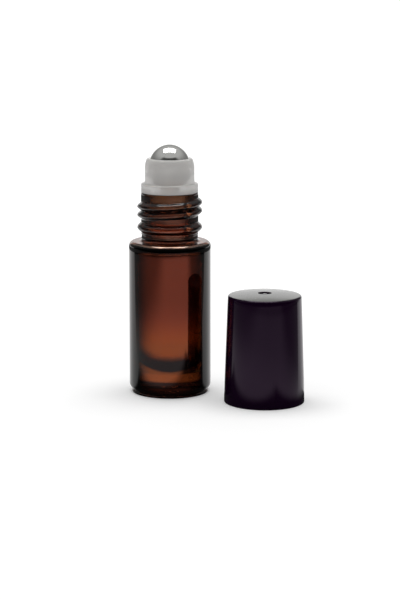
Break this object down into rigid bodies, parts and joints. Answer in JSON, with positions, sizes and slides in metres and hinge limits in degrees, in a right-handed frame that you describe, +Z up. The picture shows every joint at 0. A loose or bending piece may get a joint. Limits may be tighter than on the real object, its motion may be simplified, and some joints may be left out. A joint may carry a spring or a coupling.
{
  "type": "roll-on bottle",
  "caption": "Small amber glass roll-on bottle with a threaded neck, a steel ball in a plastic housing, and a tapered screw cap standing beside it.",
  "frame": {"origin": "centre of the bottle's base, on the surface that the bottle and its cap stand on", "axes": "+Z up along the bottle's axis, +X from the bottle towards the cap that stands beside it"},
  "size_m": [0.0465, 0.0204, 0.0625],
  "materials": {
    "amber_glass": "clear amber moulded glass",
    "natural_plastic": "translucent natural plastic, smooth",
    "polished_steel": "polished steel ball",
    "black_plastic": "glossy black moulded plastic"
  },
  "bodies": {
    "bottle": {"glass_bottle": "amber_glass"},
    "fitment": {"ball_housing": "natural_plastic"},
    "ball": {"roller_ball": "polished_steel"},
    "cap": {"screw_cap": "black_plastic"}
  },
  "joints": [
    {"name": "fitment_pull", "type": "slide", "parent": "bottle", "child": "fitment", "axis": [0, 0, 1], "range_m": [0, 0.012]},
    {"name": "ball_roll", "type": "hinge", "parent": "fitment", "child": "ball", "pos_m": [0, 0, 0.05736], "axis": [1, 0, 0], "continuous": true},
    {"name": "cap_lift", "type": "slide", "parent": "bottle", "child": "cap", "axis": [0, 0, 1], "range_m": [0, 0.07]}
  ]
}
